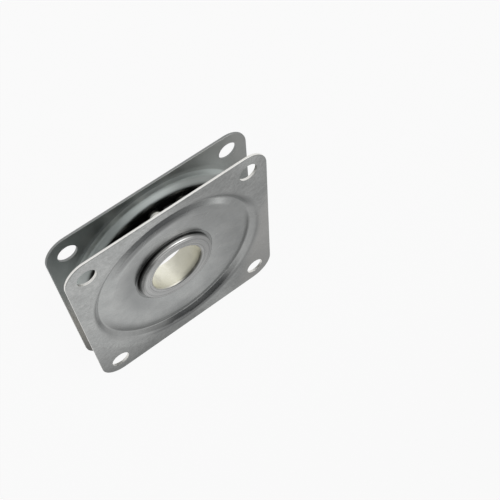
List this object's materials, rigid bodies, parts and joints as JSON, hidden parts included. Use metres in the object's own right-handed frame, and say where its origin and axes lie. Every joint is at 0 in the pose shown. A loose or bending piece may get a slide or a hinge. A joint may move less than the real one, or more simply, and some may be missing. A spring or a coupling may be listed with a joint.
{
  "type": "lazy susan bearing",
  "caption": "Square lazy susan bearing: pressed steel plates with corner screw holes swivel on a caged ring of balls around a hollow centre rivet.",
  "frame": {"origin": "centre of the base plate's outer face, on the surface that the bearing lies on", "axes": "+Z is the swivel axis, from the base plate to the top plate; X and Y run along the plates' sides"},
  "size_m": [0.0508, 0.0508, 0.0079],
  "materials": {
    "plate_steel": "zinc-plated pressed sheet, satin",
    "rivet_steel": "zinc-plated, polished by forming",
    "cage_plastic": "black moulded nylon",
    "ball_steel": "polished bearing steel"
  },
  "bodies": {
    "base": {"base_plate": "plate_steel", "hollow_rivet": "rivet_steel"},
    "top": {"top_plate": "plate_steel"},
    "cage": {"ball_cage": "cage_plastic"},
    "ball_01": {"ball_01": "ball_steel"},
    "ball_02": {"ball_02": "ball_steel"},
    "ball_03": {"ball_03": "ball_steel"},
    "ball_04": {"ball_04": "ball_steel"},
    "ball_05": {"ball_05": "ball_steel"},
    "ball_06": {"ball_06": "ball_steel"},
    "ball_07": {"ball_07": "ball_steel"},
    "ball_08": {"ball_08": "ball_steel"},
    "ball_09": {"ball_09": "ball_steel"},
    "ball_10": {"ball_10": "ball_steel"},
    "ball_11": {"ball_11": "ball_steel"},
    "ball_12": {"ball_12": "ball_steel"},
    "ball_13": {"ball_13": "ball_steel"},
    "ball_14": {"ball_14": "ball_steel"},
    "ball_15": {"ball_15": "ball_steel"},
    "ball_16": {"ball_16": "ball_steel"}
  },
  "joints": [
    {"name": "top_swivel", "type": "hinge", "parent": "base", "child": "top", "pos_m": [0, 0, 0.00397], "axis": [0, 0, 1], "continuous": true},
    {"name": "cage_orbit", "type": "hinge", "parent": "base", "child": "cage", "pos_m": [0, 0, 0.00397], "axis": [0, 0, 1], "continuous": true},
    {"name": "ball_01_roll", "type": "hinge", "parent": "cage", "child": "ball_01", "pos_m": [-0.00094, 0.018, 0.00397], "axis": [-0.0523, 0.9986, 0], "continuous": true},
    {"name": "ball_02_roll", "type": "hinge", "parent": "cage", "child": "ball_02", "pos_m": [-0.00776, 0.01627, 0.00397], "axis": [-0.4305, 0.9026, 0], "continuous": true},
    {"name": "ball_03_roll", "type": "hinge", "parent": "cage", "child": "ball_03", "pos_m": [-0.01339, 0.01206, 0.00397], "axis": [-0.7431, 0.6691, 0], "continuous": true},
    {"name": "ball_04_roll", "type": "hinge", "parent": "cage", "child": "ball_04", "pos_m": [-0.01699, 0.00602, 0.00397], "axis": [-0.9426, 0.3338, 0], "continuous": true},
    {"name": "ball_05_roll", "type": "hinge", "parent": "cage", "child": "ball_05", "pos_m": [-0.018, -0.00094, 0.00397], "axis": [-0.9986, -0.0523, 0], "continuous": true},
    {"name": "ball_06_roll", "type": "hinge", "parent": "cage", "child": "ball_06", "pos_m": [-0.01627, -0.00776, 0.00397], "axis": [-0.9026, -0.4305, 0], "continuous": true},
    {"name": "ball_07_roll", "type": "hinge", "parent": "cage", "child": "ball_07", "pos_m": [-0.01206, -0.01339, 0.00397], "axis": [-0.6691, -0.7431, 0], "continuous": true},
    {"name": "ball_08_roll", "type": "hinge", "parent": "cage", "child": "ball_08", "pos_m": [-0.00602, -0.01699, 0.00397], "axis": [-0.3338, -0.9426, 0], "continuous": true},
    {"name": "ball_09_roll", "type": "hinge", "parent": "cage", "child": "ball_09", "pos_m": [0.00094, -0.018, 0.00397], "axis": [0.0523, -0.9986, 0], "continuous": true},
    {"name": "ball_10_roll", "type": "hinge", "parent": "cage", "child": "ball_10", "pos_m": [0.00776, -0.01627, 0.00397], "axis": [0.4305, -0.9026, 0], "continuous": true},
    {"name": "ball_11_roll", "type": "hinge", "parent": "cage", "child": "ball_11", "pos_m": [0.01339, -0.01206, 0.00397], "axis": [0.7431, -0.6691, 0], "continuous": true},
    {"name": "ball_12_roll", "type": "hinge", "parent": "cage", "child": "ball_12", "pos_m": [0.01699, -0.00602, 0.00397], "axis": [0.9426, -0.3338, 0], "continuous": true},
    {"name": "ball_13_roll", "type": "hinge", "parent": "cage", "child": "ball_13", "pos_m": [0.018, 0.00094, 0.00397], "axis": [0.9986, 0.0523, 0], "continuous": true},
    {"name": "ball_14_roll", "type": "hinge", "parent": "cage", "child": "ball_14", "pos_m": [0.01627, 0.00776, 0.00397], "axis": [0.9026, 0.4305, 0], "continuous": true},
    {"name": "ball_15_roll", "type": "hinge", "parent": "cage", "child": "ball_15", "pos_m": [0.01206, 0.01339, 0.00397], "axis": [0.6691, 0.7431, 0], "continuous": true},
    {"name": "ball_16_roll", "type": "hinge", "parent": "cage", "child": "ball_16", "pos_m": [0.00602, 0.01699, 0.00397], "axis": [0.3338, 0.9426, 0], "continuous": true}
  ],
  "couplings": [
    {"joint": "cage_orbit", "follows": "top_swivel", "ratio": 0.5},
    {"joint": "ball_01_roll", "follows": "top_swivel", "ratio": -4.1273},
    {"joint": "ball_02_roll", "follows": "top_swivel", "ratio": -4.1273},
    {"joint": "ball_03_roll", "follows": "top_swivel", "ratio": -4.1273},
    {"joint": "ball_04_roll", "follows": "top_swivel", "ratio": -4.1273},
    {"joint": "ball_05_roll", "follows": "top_swivel", "ratio": -4.1273},
    {"joint": "ball_06_roll", "follows": "top_swivel", "ratio": -4.1273},
    {"joint": "ball_07_roll", "follows": "top_swivel", "ratio": -4.1273},
    {"joint": "ball_08_roll", "follows": "top_swivel", "ratio": -4.1273},
    {"joint": "ball_09_roll", "follows": "top_swivel", "ratio": -4.1273},
    {"joint": "ball_10_roll", "follows": "top_swivel", "ratio": -4.1273},
    {"joint": "ball_11_roll", "follows": "top_swivel", "ratio": -4.1273},
    {"joint": "ball_12_roll", "follows": "top_swivel", "ratio": -4.1273},
    {"joint": "ball_13_roll", "follows": "top_swivel", "ratio": -4.1273},
    {"joint": "ball_14_roll", "follows": "top_swivel", "ratio": -4.1273},
    {"joint": "ball_15_roll", "follows": "top_swivel", "ratio": -4.1273},
    {"joint": "ball_16_roll", "follows": "top_swivel", "ratio": -4.1273}
  ]
}
